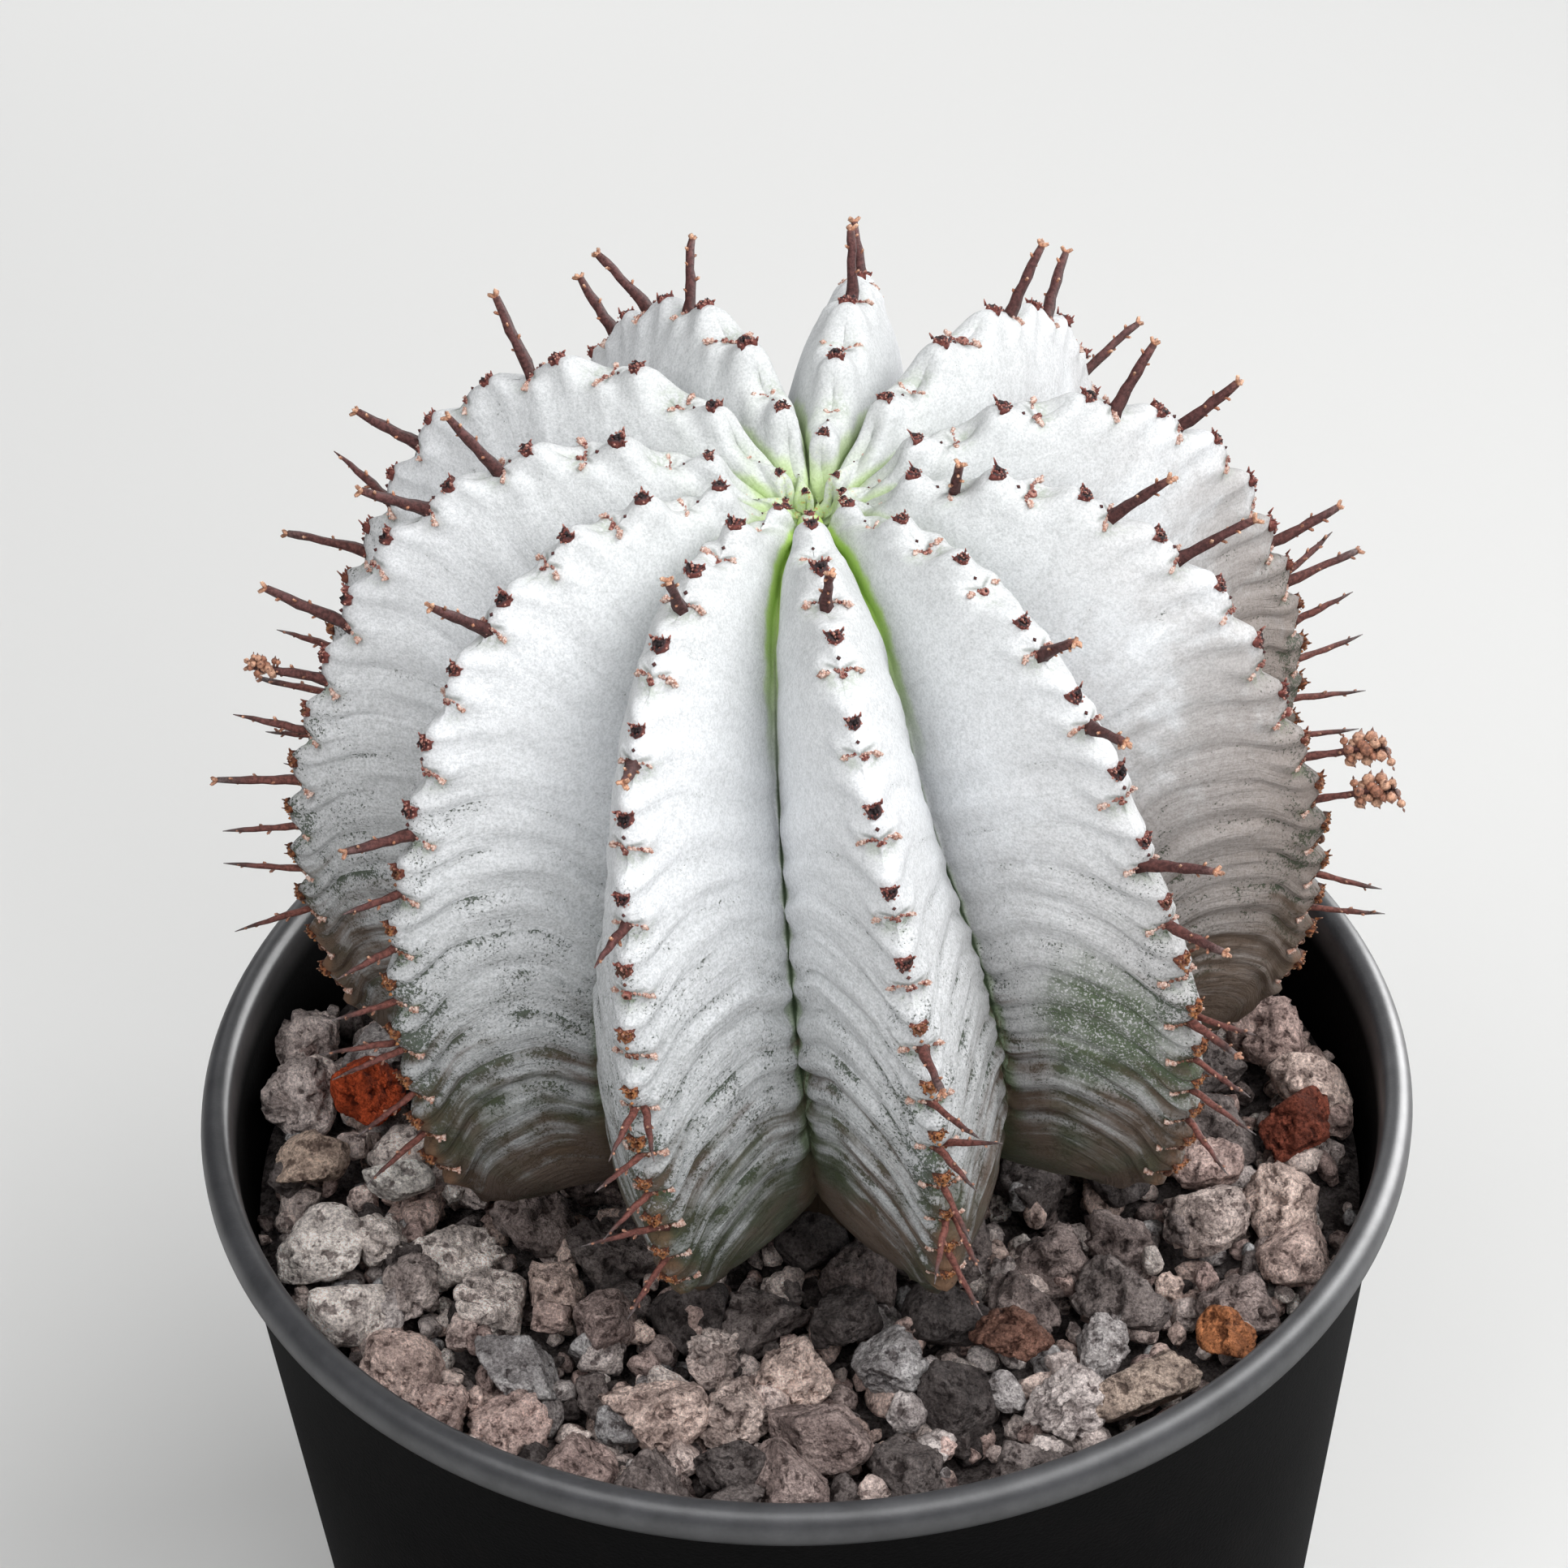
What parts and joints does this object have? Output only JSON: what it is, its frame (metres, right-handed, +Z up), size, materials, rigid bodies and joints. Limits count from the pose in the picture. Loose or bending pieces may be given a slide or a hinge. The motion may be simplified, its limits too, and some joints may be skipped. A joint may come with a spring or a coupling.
{
  "type": "potted african milk barrel plant",
  "caption": "Globe-shaped succulent with deep white-waxed ribs and brown spines along their crests, in a round tapered black plastic pot dressed with loose stones.",
  "frame": {"origin": "middle of the pot's foot, on the surface that the pot stands on", "axes": "+Z up along the pot's axis, -Y towards the side that the picture shows"},
  "size_m": [0.15, 0.15, 0.2239],
  "materials": {
    "pot_plastic": "fine-textured matt black moulded plastic, greyer along the lip",
    "potting_mix": "dark crumbly mineral potting mix",
    "gravel": "porous rough grey and pinkish volcanic stones",
    "waxed_stem": "powdery white wax over green skin, brown corky scars and spines",
    "red_stone": "porous rough volcanic stone",
    "dark_red_stone": "porous rough volcanic stone",
    "orange_stone": "porous rough volcanic stone",
    "tan_stone": "porous rough volcanic stone",
    "brown_stone": "porous rough volcanic stone",
    "white_stone": "porous rough volcanic stone",
    "pale_slab_stone": "porous rough volcanic stone"
  },
  "bodies": {
    "root": {"pot": "pot_plastic", "potting_mix": "potting_mix", "gravel_bed": "gravel", "plant": "waxed_stem", "red_stone": "red_stone", "dark_red_stone": "dark_red_stone", "orange_stone": "orange_stone", "tan_stone": "tan_stone", "brown_stone": "brown_stone", "white_stone": "white_stone", "pale_slab_stone": "pale_slab_stone"}
  },
  "joints": []
}
